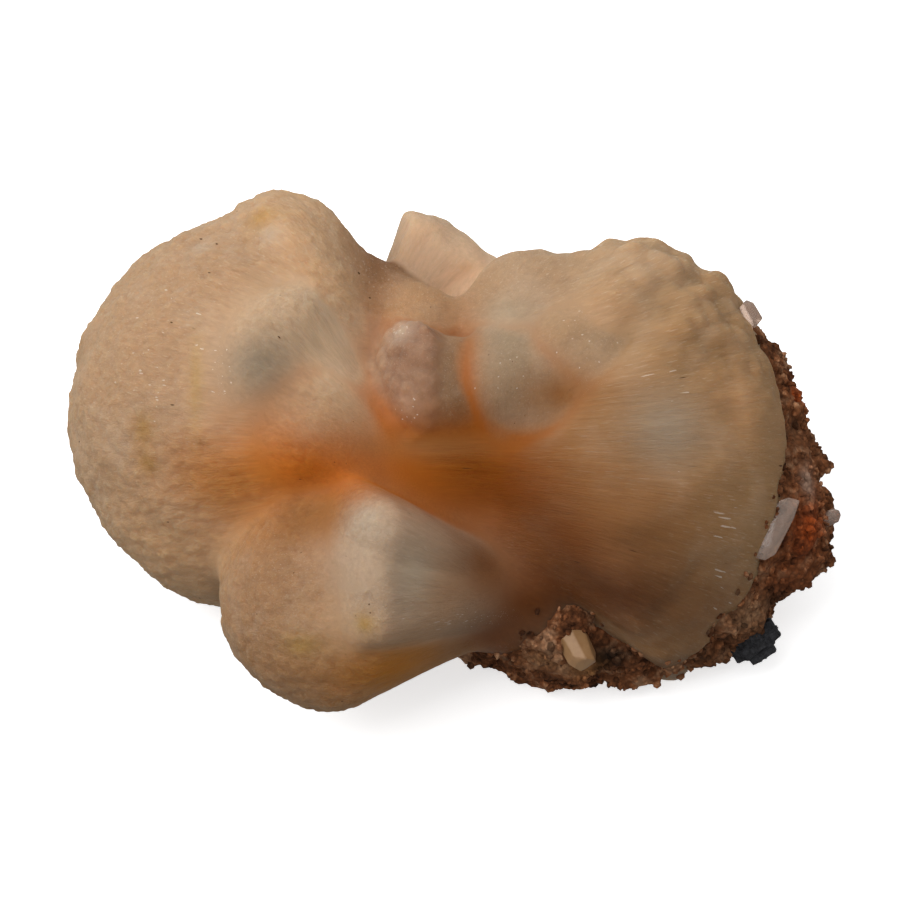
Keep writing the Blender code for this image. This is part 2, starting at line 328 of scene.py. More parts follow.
def growth_of(points):
    """For points on the cluster's skin: the share of each sheaf, the direction and the distance from the
    root of the nearest one, how much the point lies on a dome of blade ends (1) or on a flank (0), and the
    number of the nearest one, with 0 for the whole bow tie."""
    seen = to_view(points)
    bow = list(BOW_TIE.values())
    groups = [bow] + [[spec] for spec in SIDE_SHEAVES.values()]
    nearness, directions, distances, ends = [], [], [], []
    for specs in groups:
        away = seen - np.asarray(specs[0][0], float)
        distance = np.linalg.norm(away, axis=1)
        direction = away / np.maximum(distance, TINY)[:, None]
        parts = [reach_parts(direction, spec) for spec in specs]
        whole = blended_reach(direction, specs)
        lead = np.argmax([reach(direction, spec) for spec in specs], axis=0)
        end = np.choose(lead, [part[0] for part in parts])
        flank = np.choose(lead, [part[1] for part in parts])
        nearness.append((distance / whole - 1) * distance)
        directions.append(direction)
        distances.append(distance)
        ends.append(flank**END_SHARPNESS / (flank**END_SHARPNESS + end**END_SHARPNESS))
    nearness = np.array(nearness)
    owner = np.argmin(nearness, axis=0)
    pick = np.arange(len(points))
    shares = np.exp(-(nearness - nearness.min(axis=0)) / SHARE_SOFTNESS)
    shares /= shares.sum(axis=0)
    in_bow = np.array([reach(directions[0], spec) ** TINT_BLEND for spec in bow])
    in_bow /= in_bow.sum(axis=0)
    shares = np.concatenate([shares[0] * in_bow, shares[1:]])
    return (
        shares.T,
        np.array(directions)[owner, pick],
        np.array(distances)[owner, pick],
        np.array(ends)[owner, pick],
        owner,
    )


shape = bmesh.new()
star_mesh(shape, list(BOW_TIE.values()), bladed_reach, BOW_SUBDIVISIONS)
for spec in SIDE_SHEAVES.values():
    star_mesh(shape, [spec], bladed_reach, SHEAF_SUBDIVISIONS)
cluster = new_object("stilbite_sheaves", shape)
remesh(cluster, SOFT_GRAIN)
keep_largest(cluster)
points = read_points(cluster.data)
shares = growth_of(points)[0]
names = [*BOW_TIE, *SIDE_SHEAVES]
crisp = shares[:, [names.index(name) for name in CRISP]] @ np.array(list(CRISP.values()))
near_waist = np.exp(-((np.linalg.norm(to_view(points), axis=1) / WAIST_REGION) ** WAIST_SHARPNESS))
wear_soft(cluster, SOFT_STEPS, (WEAR_ANYWHERE + WEAR_AT_WAIST * near_waist) * (1 - crisp))
remesh(cluster, SKIN_GRAIN)

# Patterns among the blades: each sheaf's length, how much a millimetre along a blade counts, how far apart
# the patterns of two sheaves lie, where the bow tie opens out, and how much a millimetre in depth counts in
# its right-hand fan and in the dome left of a place
LENGTHS = np.array([BOW_TIE["left_fan"][2]] + [spec[2] for spec in SIDE_SHEAVES.values()])
ALONG_BLADES = 0.06
SHEAF_APART = 31.0
WAIST_OPENING = 22.0
PLATE_DEPTH = 0.12
DOME_DEPTH = 0.6
DOME_LEFT_OF = (20, 5)


def rising(values, middle, width):
    """0 well below the middle, 1 well above it, with a smooth change over the width."""
    return 1 / (1 + np.exp((middle - values) / width))


def blade_places(points):
    """Where each point lies among the blades, in millimetres across them: patterns read from this run as
    streaks along the flanks and as grains over the domes. In the bow tie the streaks run straight over the
    waist and open out into the fans. Its blades are wide in depth, most of all in the right-hand fan."""
    shares, direction, distance, endness, owner = growth_of(points)
    places = direction * (LENGTHS[owner] + ALONG_BLADES * distance)[:, None] + owner[:, None] * SHEAF_APART
    in_bow = owner == 0
    seen = to_view(points)[in_bow]
    opened = seen / np.hypot(WAIST_OPENING, np.linalg.norm(seen[:, :2], axis=1))[:, None] * LENGTHS[0]
    steep = (opened[:, 1] / LENGTHS[0]) ** 2
    depth = PLATE_DEPTH + (DOME_DEPTH - PLATE_DEPTH) * rising(-seen[:, 0], *DOME_LEFT_OF)
    places[in_bow] = np.stack([
        opened[:, 0] * steep + ALONG_BLADES * distance[in_bow], opened[:, 1], opened[:, 2] * depth,
    ], axis=1)
    return shares, places, endness


def on_one_sheaf(shares):
    """1 where a point belongs to one sheaf alone, falling to 0 on the border between two."""
    in_bow = shares[:, :len(BOW_TIE)].sum(axis=1)
    return np.clip(2 * np.maximum(in_bow, shares[:, len(BOW_TIE):].max(axis=1)) - 1, 0, 1)


points = read_points(cluster.data)
shares, along_blades, endness = blade_places(points)
right, up, _ = to_view(points).T
relief = np.zeros(len(points))
for width, height in GRAINS:
    relief += height * cell_height(along_blades / width)
relief -= relief.mean()
relief *= (FLANK_SHARE + (1 - FLANK_SHARE) * endness) * (1 - CALMER_BY * rising(right, *CALMER_RIGHT_OF))
for width, height in DOME_GRAINS:
    relief += height * cell_height(points / (width * MM)) * endness * (1 - rising(right, *DOME_ENDS_AT))
width, height = RIM_SCALLOPS
at_rim = rising(np.hypot(right, RIM_STRETCH * up), *RIM_FROM)
at_rim *= rising(up, *RIM_ABOVE) * rising(right, *RIM_RIGHT_OF)
relief += height * cell_height(points / (width * MM)) * at_rim
relief *= on_one_sheaf(shares)
width, height = RUGGED_BLOCK
relief += height * cell_height(points / (width * MM)) * shares[:, names.index("centre_block")]
write_points(cluster.data, points + read_normals(cluster.data) * (relief * MM)[:, None])
thin_out(cluster, MOST_TRIANGLES)
cut_at_floor(cluster)
for face in cluster.data.polygons:
    face.use_smooth = True

# Tints of the sheaves. Those over the waist are painted a deeper orange, the glow of light passing through
# the blades there, the keel under the right-hand fan is painted dark brown as shade, and the side sheaves
# are whiter, because their blades lie looser and scatter more light.
SHEAF_TINTS = {
    "left_fan": "C29C78", "left_crest": "D2AA82", "right_fan": "AE875E", "right_shoulder": "BE9870",
    "right_top": "BE9C7A", "right_crest": "BA9876", "right_keel": "6A3A18", "notch_ridge": "C29870",
    "saddle": "B05C14", "left_lobe": "C6A888", "left_lobe_foot": "C6A07A", "right_lobe": "A89074",
    "right_ledge": "B0906E", "rear_sheaf": "DAB694", "rear_step": "EEC8A4", "front_sheaf": "AC8460",
    "front_crystal": "B89E84", "front_block": "B89E84", "centre_block": "98725A", "centre_right": "967454",
}
# Iron stains, milky places, and painted light and shade: where in the view (right, up), half sizes (right,
# up), tint, strength. Each lies on the skin that is seen there.
STAINS_AND_PAINTED_LIGHT = (
    # Painted glow: the deep orange of light passing through the blades over the waist
    ((3.1, -3.1), (19, 6.5), "9A540E", 1.0),
    ((-18.7, -4.2), (14, 6.0), "CC6E14", 1.0),
    ((-30.0, -6.5), (9, 7.5), "CC8436", 0.7),
    ((0.8, -0.2), (9.4, 2.2), "A07040", 0.6),
    # Painted shade and glow: orange-brown in the hollows right of the waist, darkening to brown over the
    # lower right and the underside of the right-hand fan
    ((20.5, 7.5), (7, 4.0), "96602E", 0.9),
    ((13.0, -7.5), (10, 5.0), "8A4606", 0.8),
    ((21.5, -13.5), (12, 8.0), "7A3C0A", 0.95),
    ((27.5, -22.6), (15, 9.0), "5C2E0C", 0.9),
    ((34.0, -33.5), (9, 4.0), "5A3A1E", 1.0),
    ((30.0, -9.0), (11, 6.0), "A87444", 0.6),
    ((44.0, -26.0), (12, 7.0), "8A5E3C", 0.6),
    # Painted light: a paler place low on the left-hand fan, which lies in shade
    ((-40.0, -16.0), (12, 9.0), "DEAE80", 0.7),
    ((35.5, 2.5), (6, 5.5), "B4A490", 0.65),
    ((54.0, -5.0), (2.5, 20.0), "A87850", 0.35),
    ((46.8, 6.0), (5, 8.0), "D4A070", 0.6),
    ((31.0, -14.0), (8, 5.0), "8E6038", 0.5),
    ((-6.0, -33.5), (12, 5.0), "C47C2C", 1.0),
    ((-16.0, -28.0), (8, 6.0), "CCA67E", 0.45),
    ((2.0, -22.0), (5, 6.0), "B8906C", 0.7),
    ((-17.0, -10.5), (6, 4.5), "94683E", 0.8),
    # Browns over the front crystal's flank and below it: partly its own colour, partly painted shade
    ((10.0, -28.5), (9, 4.0), "744018", 0.8),
    ((9.0, -18.5), (8, 6.0), "82522C", 0.9),
    ((15.0, -24.0), (7, 5.0), "6E3C14", 0.9),
    ((-25.5, 12.0), (5.5, 5.0), "8C7E6A", 0.75),
    # Painted light on the shaded right-hand flank of the left lobe
    ((-13.5, 14.0), (5.5, 7.5), "EACAA6", 0.85),
    ((-16.0, -11.0), (7.0, 3.5), "9A6636", 0.6),
    ((-24.2, 32.0), (2.4, 2.0), "CDB49A", 0.7),
    ((-35.0, 30.4), (2.2, 2.0), "CDB49A", 0.6),
    ((-25.9, 34.9), (2.8, 1.8), "BE9048", 0.6),
    ((-42.9, 2.3), (1.8, 2.6), "B48640", 0.6),
    ((-42.4, -2.7), (1.8, 1.8), "AE8038", 0.6),
    ((-34.8, 9.4), (1.0, 7.0), "BE9A60", 0.6),
    ((-9.4, -26.2), (1.8, 1.5), "B89048", 0.7),
    ((-18.7, -29.6), (2.8, 1.8), "B89048", 0.6),
    ((-4.5, 17.0), (2.6, 1.6), "D2BCA6", 0.7),
    ((-3.6, 6.6), (2.6, 3.0), "BC967A", 0.6),
    ((-9.0, -11.0), (4.0, 3.6), "CCBEA8", 0.6),
    ((-2.0, -19.0), (4.0, 4.0), "C4B49C", 0.5),
    ((11.5, 20.0), (5.0, 3.4), "B4A48C", 0.6),
)
BRIGHTNESS = 0.88
# Painted glow: round this place in the view, as far as this reach times the stretch, the creases between
# sheaves are painted orange, as light that has passed through the blades.
CREASE_GLOW_TINT = "B4621A"
CREASE_PLACE = (0, 2, 12)
CREASE_STRETCH = (1.25, 0.8, 1.2)
CREASE_REACH = 21.0
CREASE_WIDTH = 2.2
# Painted highlights: where loose blade ends glint most: place in the view, half sizes, strength
GLINTS = (
    ((-34.0, 17.0), (1.0, 3.0), 0.6), ((-31.0, 9.0), (1.4, 6.0), 0.35), ((-42.0, 12.0), (3.0, 8.0), 0.25),
    ((-4.7, 17.5), (2.4, 1.2), 0.5), ((-3.1, 5.0), (1.6, 2.4), 0.4), ((22.0, 18.0), (2.4, 2.4), 0.2),
    ((24.0, 10.0), (4.0, 5.0), 0.1), ((34.0, 9.0), (3.0, 1.5), 0.4), ((38.0, 2.0), (1.6, 6.0), 0.3),
    ((44.0, -14.0), (1.6, 9.0), 0.35), ((12.0, 12.0), (3.0, 3.0), 0.12), ((4.0, -26.0), (8.0, 1.0), 0.6),
)
# Rays that look for the skin start this far towards the eye, in millimetres
EYE_SIDE = 200


def depth_seen(place, tree):
    """How far towards the eye the skin lies at one place in the view."""
    high, low = (Vector(to_world((*place, out))) for out in (EYE_SIDE, 0))
    return EYE_SIDE - tree.ray_cast(high, low - high)[3] / MM


def spot(seen, place, sizes, strength, tree):
    """How strong a soft spot is at every point. It lies on the skin that is seen at its place."""
    centre = (*place, depth_seen(place, tree))
    return strength * np.exp(-(((seen - centre) / (*sizes, max(sizes))) ** 2).sum(axis=1))


def linear(code):
    """An sRGB hex colour as the linear red, green and blue that Blender works in."""
    parts = [int(code[i:i + 2], 16) / 255 for i in (0, 2, 4)]
    return np.array([p / 12.92 if p <= 0.04045 else ((p + 0.055) / 1.055) ** 2.4 for p in parts])


def add(tree, kind, inputs=(), **settings):
    """Adds one node. Inputs go to its sockets by name or number, as values or as links."""
    node = tree.nodes.new(kind)
    for name, value in settings.items():
        setattr(node, name, value)
    for name, value in dict(inputs).items():
        if isinstance(value, bpy.types.NodeSocket):
            tree.links.new(value, node.inputs[name])
        else:
            node.inputs[name].default_value = value
    return node


def new_material(name):
    """A material with only its output node, for the section to build on."""
    material = bpy.data.materials.new(name)
    material.use_nodes = True
    material.node_tree.nodes.clear()
    return material, material.node_tree, material.node_tree.nodes.new("ShaderNodeOutputMaterial")


def paint_vectors(mesh, name, values):
    layer = mesh.attributes.new(name, "FLOAT_VECTOR", "POINT")
    layer.data.foreach_set("vector", np.asarray(values, np.float32).ravel())


def paint_numbers(mesh, name, values):
    layer = mesh.attributes.new(name, "FLOAT", "POINT")
    layer.data.foreach_set("value", np.asarray(values, np.float32).ravel())


points = read_points(cluster.data)
shares, places, _ = blade_places(points)
tints = shares @ np.array([linear(SHEAF_TINTS[name]) for name in names])
seen = to_view(points)
from_waist = np.linalg.norm((seen - CREASE_PLACE) / CREASE_STRETCH, axis=1) / CREASE_REACH
block = shares[:, [names.index(name) for name in CRISP]].sum(axis=1)
between = np.clip(CREASE_WIDTH * (1 - np.maximum(shares.max(axis=1), block)), 0, 1)
# Painted glow in the creases between sheaves, fading away from the waist
crease_glow = np.exp(-(from_waist**3)) * between
tints += (linear(CREASE_GLOW_TINT) - tints) * crease_glow[:, None]
clear = 1 - crease_glow
skin_tree = BVHTree.FromObject(cluster, bpy.context.evaluated_depsgraph_get())
# Paints the stains and milky places, and the painted glow, shade and light, into the tints
for place, sizes, tint, strength in STAINS_AND_PAINTED_LIGHT:
    weight = spot(seen, place, sizes, strength, skin_tree)
    tints += (linear(tint) - tints) * weight[:, None]
    clear *= 1 - weight
paint_vectors(cluster.data, "tint", tints * BRIGHTNESS)
paint_vectors(cluster.data, "blade", places)
paint_numbers(cluster.data, "veil", clear * on_one_sheaf(shares))
paint_numbers(cluster.data, "alone", on_one_sheaf(shares) ** 2)
glint = np.zeros(len(points))
for place, sizes, strength in GLINTS:
    glint += spot(seen, place, sizes, strength, skin_tree)
paint_numbers(cluster.data, "glint", np.minimum(glint, 1))

# Stilbite crystals split along one plane into thin pearly blades. Light enters between them and comes out
# some way off, so the body glows, and only a fresh blade end or edge gives a small bright glint.
stilbite, tree, output = new_material("stilbite, cleaved translucent blades")
tint = add(tree, "ShaderNodeAttribute", attribute_name="tint").outputs["Vector"]
blade = add(tree, "ShaderNodeAttribute", attribute_name="blade").outputs["Vector"]
clear = add(tree, "ShaderNodeAttribute", attribute_name="veil").outputs["Fac"]
rich = add(tree, "ShaderNodeAttribute", attribute_name="glint").outputs["Fac"]
alone = add(tree, "ShaderNodeAttribute", attribute_name="alone").outputs["Fac"]
place = add(tree, "ShaderNodeTexCoord").outputs["Object"]
# Blades half a millimetre wide differ a little in tone, and hair-fine pale lines run between them
streaks = add(tree, "ShaderNodeTexNoise", {"Vector": blade, "Scale": 1.3, "Detail": 5, "Roughness": 0.68})
streak_shade = add(tree, "ShaderNodeMapRange", {
    "Value": streaks.outputs["Fac"], "From Min": 0.3, "From Max": 0.7, "To Min": 0.88, "To Max": 1.10,
})
lit = add(tree, "ShaderNodeVectorMath", {0: tint, "Scale": streak_shade.outputs[0]}, operation="SCALE")
hairs = add(tree, "ShaderNodeTexNoise", {"Vector": blade, "Scale": 4.2, "Detail": 2, "Roughness": 0.5})
hair = add(tree, "ShaderNodeMapRange", {
    "Value": hairs.outputs["Fac"], "From Min": 0.60, "From Max": 0.72, "To Min": 0.0, "To Max": 0.30,
})
hair_seen = add(tree, "ShaderNodeMath", {0: hair.outputs[0], 1: clear}, operation="MULTIPLY")
# Sockets 6 and 7 of a Mix node are its two colours, and its output 2 is the mixed one
haired = add(tree, "ShaderNodeMix", {
    "Factor": hair_seen.outputs[0], 6: lit.outputs[0], 7: (*linear("D8C6B0"), 1),
}, data_type="RGBA")
veil = add(tree, "ShaderNodeTexNoise", {"Vector": place, "Scale": 130, "Detail": 4, "Distortion": 0.6})
milky = add(tree, "ShaderNodeMapRange", {
    "Value": veil.outputs["Fac"], "From Min": 0.45, "From Max": 0.75, "To Min": 0.0, "To Max": 0.28,
})
veiled = add(tree, "ShaderNodeMath", {0: milky.outputs[0], 1: clear}, operation="MULTIPLY")
clouded = add(tree, "ShaderNodeMix", {
    "Factor": veiled.outputs[0], 6: haired.outputs[2], 7: (*linear("C6AE96"), 1),
}, data_type="RGBA")
# A brown speck of iron stain every few millimetres
flecks = add(tree, "ShaderNodeTexVoronoi", {"Vector": blade, "Scale": 0.55, "Randomness": 1.0})
near_fleck = add(tree, "ShaderNodeMapRange", {
    "Value": flecks.outputs["Distance"], "From Min": 0.05, "From Max": 0.09, "To Min": 1.0, "To Max": 0.0,
})
fleck_pick = add(tree, "ShaderNodeSeparateColor", {"Color": flecks.outputs["Color"]})
has_fleck = add(tree, "ShaderNodeMath", {0: fleck_pick.outputs[0], 1: 0.70}, operation="GREATER_THAN")
fleck_here = add(tree, "ShaderNodeMath", {0: has_fleck.outputs[0], 1: alone}, operation="MULTIPLY")
fleck = add(tree, "ShaderNodeMath", {
    0: near_fleck.outputs[0], 1: fleck_here.outputs[0],
}, operation="MULTIPLY")
flecked = add(tree, "ShaderNodeMix", {
    "Factor": fleck.outputs[0], 6: clouded.outputs[2], 7: (*linear("4E3018"), 1),
}, data_type="RGBA")
# Painted glints, near-white specks mixed into the colour, a fifth of a millimetre wide, long on the flanks,
# most of them where the blades lie loose
glints = add(tree, "ShaderNodeTexVoronoi", {"Vector": blade, "Scale": 4.6, "Randomness": 1.0})
glint_pick = add(tree, "ShaderNodeSeparateColor", {"Color": glints.outputs["Color"]})
level = add(tree, "ShaderNodeMapRange", {
    "Value": rich, "From Min": 0.0, "From Max": 1.0, "To Min": 1.0, "To Max": 0.92,
})
has_glint = add(tree, "ShaderNodeMath", {
    0: glint_pick.outputs[1], 1: level.outputs[0],
}, operation="GREATER_THAN")
bright = add(tree, "ShaderNodeMath", {0: has_glint.outputs[0], 1: 0.42}, operation="MULTIPLY")
glinting = add(tree, "ShaderNodeMix", {
    "Factor": bright.outputs[0], 6: flecked.outputs[2], 7: (*linear("EFE6DA"), 1),
}, data_type="RGBA")
# The blades' own fine roughness, left out on the border between two sheaves
fine = add(tree, "ShaderNodeTexNoise", {"Vector": blade, "Scale": 2.6, "Detail": 5, "Roughness": 0.72})
bump = add(tree, "ShaderNodeBump", {"Height": fine.outputs["Fac"], "Strength": alone, "Distance": 0.0004})
shader = add(tree, "ShaderNodeBsdfPrincipled", {
    "Base Color": glinting.outputs[2], "Roughness": 0.55, "IOR": 1.5, "Normal": bump.outputs[0],
    "Specular IOR Level": 0.1, "Subsurface Weight": 0.8, "Subsurface Radius": (1.0, 0.72, 0.5),
    "Subsurface Scale": 0.006,
})
tree.links.new(shader.outputs[0], output.inputs["Surface"])
cluster.data.materials.clear()
cluster.data.materials.append(stilbite)
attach(cluster, "root")
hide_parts("stilbite_cluster")

# The matrix crust: crumbly, iron-stained granular rock that the fans grew from. It wraps the right-hand
# end and the underside, and is dull and rough, with pits between its lumps.
CRUST_TOWARDS = (0.62, -0.18, -0.76)
# Its edge, and where it is at its full depth, as cosines of the angle to the side it lies towards
CRUST_EDGE = 0.50
CRUST_FULL = 0.70
# Ten numbers each, as in the bow tie
CRUST_FEET = {
    "side_foot": ((0, 0, 0), (59.5, 4, -6), 59, 10, 20, 14, 6, 0.2, 0.2, 2),
    "right_foot": ((0, 0, 0), (60, -12, -6), 65, 11, 22, 14, 6, 0.2, 0.2, 2),
    "lower_foot": ((0, 0, 0), (57, -20, -7), 62.5, 10, 22, 12, 6, 0.2, 0.2, 2),
    "corner_foot": ((0, 0, 0), (50, -29, -8), 61.5, 8, 22, 12, 6, 0.2, 0.2, 2),
    "keel_foot": ((0, 0, 0), (37, -36, -3), 50.5, 11, 15, 12, 6, 0.2, 0.2, 2),
    "front_foot": ((0, 0, 0), (27, -37, -10), 47.5, 17, 30, 14, 6, 0.2, 0.2, 2),
    "middle_foot": ((0, 0, 0), (18, -24, -24), 44, 36, 36, 16, 6, 0.2, 0.2, 2),
}
CRUST_RAGGED = 0.10
CRUST_RAGS_ACROSS = 4.0
CRUST_TUCKED_IN = -0.6
CRUST_DEPTH = 7.0
CRUST_LUMP = 4.0
CRUST_LUMPS_ACROSS = 9.0
# Widths and heights of its grains in millimetres
CRUST_GRAINS = ((3.4, 1.3), (1.6, 0.8), (0.8, 0.35))
CRUST_GRAIN_BASE = 0.15
CRUST_SKIN_GRAIN = 0.5
CRUST_SUBDIVISIONS = 7
CRUST_TRIANGLES = 150000


def crust_reach(directions, specs):
    """The bow tie's own surface, plus lumps of crust on the side that the crust covers."""
    ragged = sampled(directions * CRUST_RAGS_ACROSS, noise.noise)
    cover = directions @ unit(CRUST_TOWARDS) - CRUST_EDGE + CRUST_RAGGED * ragged
    share = np.clip(cover / (CRUST_FULL - CRUST_EDGE), CRUST_TUCKED_IN, 1)
    wrapped = blended_reach(directions, specs) + CRUST_DEPTH * share
    feet = blended_reach(directions, CRUST_FEET.values())
    lumps = cell_height(directions * CRUST_LUMPS_ACROSS)
    return np.maximum(wrapped, feet) + CRUST_LUMP * lumps * ((share > 0) | (feet > wrapped))


shape = bmesh.new()
star_mesh(shape, list(BOW_TIE.values()), crust_reach, CRUST_SUBDIVISIONS)
crust = new_object("matrix_lumps", shape)
remesh(crust, CRUST_SKIN_GRAIN)
points = read_points(crust.data)
relief = np.zeros(len(points))
for width, height in CRUST_GRAINS:
    relief += height * (cell_height(points / (width * MM)) - CRUST_GRAIN_BASE)
write_points(crust.data, points + read_normals(crust.data) * (relief * MM)[:, None])
thin_out(crust, CRUST_TRIANGLES)
cut_at_floor(crust)
cut = crust.modifiers.new("room for the blades", "BOOLEAN")
cut.operation = "DIFFERENCE"
cut.solver = "MANIFOLD"
cut.object = cluster
settle(crust)
keep_largest(crust)

# Stains in the crust, and near-black painted shadow in the gaps under the right-hand fan: where they show
# in the view, half sizes, tint and strength
CRUST_STAINS_AND_SHADOWS = (
    ((57.0, 7.5), (3.4, 3.2), "BE5A26", 1.0),
    ((59.0, -13.0), (4, 4.0), "A84A1A", 0.9),
    ((56.0, -20.0), (5, 4.0), "8A4A28", 0.6),
    ((54.5, 1.0), (2.5, 3.5), "B8906C", 0.7),
    ((49.0, -26.5), (6, 3.0), "A88260", 0.6),
    ((18.0, -33.0), (3.5, 2.0), "9A7450", 0.6),
    ((50.0, 2.0), (3, 8.0), "BE8A62", 0.7),
    ((53.5, -5.0), (1.0, 2.2), "1C1410", 0.9),
    ((58.3, -5.6), (1.1, 2.4), "C9A48C", 0.9),
    # Painted shadow in the gaps low in the crust, beneath the right-hand fan
    ((13.0, -30.5), (3.5, 1.8), "0C0604", 1.0),
    ((27.5, -32.5), (4.0, 2.2), "0C0604", 1.0),
    ((24.0, -34.5), (2.6, 1.6), "B08050", 0.7),
    ((44.0, -33.0), (6.0, 2.4), "7A5236", 0.7),
    ((48.0, 14.0), (3.0, 5.0), "A87850", 0.6),
)
crust_tree = BVHTree.FromObject(crust, bpy.context.evaluated_depsgraph_get())


def stained(points, seen_tree, stains):
    """Colour and strength of all the stains and painted shadows together at every point."""
    seen = to_view(points)
    colour = np.zeros((len(points), 3))
    weight = np.zeros(len(points))
    for place, sizes, tint, strength in stains:
        own = spot(seen, place, sizes, strength, seen_tree)
        colour += (linear(tint) - colour) * own[:, None]
        weight += own * (1 - weight)
    return colour / np.maximum(weight, TINY)[:, None], weight


colour, weight = stained(read_points(crust.data), crust_tree, CRUST_STAINS_AND_SHADOWS)
paint_vectors(crust.data, "stain", colour)
paint_numbers(crust.data, "stained", weight)
paint_numbers(crust.data, "tone", np.ones(len(weight)))

# Altered matrix: loose grains of iron oxide and clay over dark rock. It is dull, red-brown on the lumps,
# and painted darker between the grains as shade, almost black in the pits.
matrix, tree, output = new_material("iron-stained matrix, crumbled basalt")
place = add(tree, "ShaderNodeTexCoord").outputs["Object"]
patches = add(tree, "ShaderNodeTexNoise", {"Vector": place, "Scale": 210, "Detail": 6, "Roughness": 0.65})
ramp = add(tree, "ShaderNodeValToRGB", {"Fac": patches.outputs["Fac"]})
ramp.color_ramp.elements[0].position = 0.30
ramp.color_ramp.elements[0].color = (*linear("2E150A"), 1)
ramp.color_ramp.elements[1].position = 0.72
ramp.color_ramp.elements[1].color = (*linear("D2A47E"), 1)
ramp.color_ramp.elements.new(0.5).color = (*linear("8E5836"), 1)
stained_by = add(tree, "ShaderNodeMix", {
    "Factor": add(tree, "ShaderNodeAttribute", attribute_name="stained").outputs["Fac"],
    6: ramp.outputs["Color"], 7: add(tree, "ShaderNodeAttribute", attribute_name="stain").outputs["Color"],
}, data_type="RGBA")
# Painted shade: each grain lighter in its middle and darker towards its edges, darkest in the gaps between
# grains
grains = add(tree, "ShaderNodeTexVoronoi", {"Vector": place, "Scale": 1300, "Randomness": 1.0})
grain_shade = add(tree, "ShaderNodeMapRange", {
    "Value": grains.outputs["Distance"], "From Min": 0.1, "From Max": 0.7, "To Min": 1.15, "To Max": 0.6,
})
tone = add(tree, "ShaderNodeMath", {
    0: grain_shade.outputs[0], 1: add(tree, "ShaderNodeAttribute", attribute_name="tone").outputs["Fac"],
}, operation="MULTIPLY")
shaded = add(tree, "ShaderNodeVectorMath", {
    0: stained_by.outputs[2], "Scale": tone.outputs[0],
}, operation="SCALE")
fine = add(tree, "ShaderNodeTexNoise", {"Vector": place, "Scale": 1800, "Detail": 4, "Roughness": 0.7})
bump = add(tree, "ShaderNodeBump", {"Height": fine.outputs["Fac"], "Strength": 1.0, "Distance": 0.0005})
shader = add(tree, "ShaderNodeBsdfPrincipled", {
    "Base Color": shaded.outputs[0], "Roughness": 0.92, "IOR": 1.5, "Normal": bump.outputs[0],
    "Specular IOR Level": 0.15,
})
tree.links.new(shader.outputs[0], output.inputs["Surface"])
crust.data.materials.clear()
crust.data.materials.append(matrix)
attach(crust, "root")
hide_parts("matrix_crust")

# The crumbs: loose angular grains of the same matrix, half a millimetre to two millimetres wide, caught
# on the crust and on the blades next to it, and grown fast to both. They give its edge the ragged outline.
CRUMB_SEED = 7
# Crumbs to the square metre, and the ranges of their sizes in millimetres, their flatness and their tones
CRUMB_DENSITY = 420000.0
CRUMB_SIZES = (0.45, 1.9)
CRUMB_FLATTEST = (0.7, 0.5, 0.5)
CRUMB_FULLEST = (1.5, 1.0, 1.0)
CRUMB_TONES = (0.45, 1.55)
CRUMB_TURN = 6.28
# Each random choice has a number of its own, so that size, flatness and tone don't go together
SIZE_DRAW = 3
FLATNESS_DRAW = 5
TONE_DRAW = 9
# None starts nearer to the floor than this, in millimetres
FLOOR_MARGIN = 1.55
# Crumbs lie on the crust where it is clear of the blades, and thinner on the blades as far as the reach
CLEAR_OF_BLADES = 0.1
STRAY_REACH = 5.0
STRAY_SHARE = 0.6
shape = bmesh.new()
shape.from_mesh(crust.data)
crust_count = len(shape.verts)
shape.from_mesh(cluster.data)
crumbs = new_object("matrix_crumbs", shape)
points = read_points(crumbs.data)


def far_from(points, tree):
    """How far each point lies from the surface, in millimetres."""
    return np.array([tree.find_nearest(Vector(point))[3] for point in points]) / MM


bare = np.concatenate([
    far_from(points[:crust_count], skin_tree) > CLEAR_OF_BLADES,
    STRAY_SHARE * np.clip(1 - far_from(points[crust_count:], crust_tree) / STRAY_REACH, 0, 1),
])
bare[points[:, 2] < FLOOR_MARGIN * MM] = 0
paint_numbers(crumbs.data, "bare", bare)
crumb_measures = {
    "Density": CRUMB_DENSITY, "Smallest": CRUMB_SIZES[0], "Largest": CRUMB_SIZES[1],
    "Darkest": CRUMB_TONES[0], "Palest": CRUMB_TONES[1],
}
group = bpy.data.node_groups.new("crumbs on the crust", "GeometryNodeTree")
group.interface.new_socket("Bed", in_out="INPUT", socket_type="NodeSocketGeometry")
for name in crumb_measures:
    group.interface.new_socket(name, in_out="INPUT", socket_type="NodeSocketFloat")
group.interface.new_socket("Seed", in_out="INPUT", socket_type="NodeSocketInt")
group.interface.new_socket("Crumbs", in_out="OUTPUT", socket_type="NodeSocketGeometry")
given = add(group, "NodeGroupInput").outputs
is_bare = add(group, "GeometryNodeInputNamedAttribute", {"Name": "bare"}, data_type="FLOAT").outputs[0]
density = add(group, "ShaderNodeMath", {0: is_bare, 1: given["Density"]}, operation="MULTIPLY")
spread = add(group, "GeometryNodeDistributePointsOnFaces", {
    "Mesh": given["Bed"], "Density": density.outputs[0], "Seed": given["Seed"],
})
crumb = add(group, "GeometryNodeMeshIcoSphere", {"Radius": MM / 2, "Subdivisions": 1})
turned = add(group, "FunctionNodeRandomValue", {1: (CRUMB_TURN,) * 3}, data_type="FLOAT_VECTOR")
size = add(group, "FunctionNodeRandomValue", {
    2: given["Smallest"], 3: given["Largest"], 8: SIZE_DRAW,
}, data_type="FLOAT")
flatness = add(group, "FunctionNodeRandomValue", {
    0: CRUMB_FLATTEST, 1: CRUMB_FULLEST, 8: FLATNESS_DRAW,
}, data_type="FLOAT_VECTOR")
sized = add(group, "ShaderNodeVectorMath", {
    0: flatness.outputs[0], "Scale": size.outputs[1],
}, operation="SCALE")
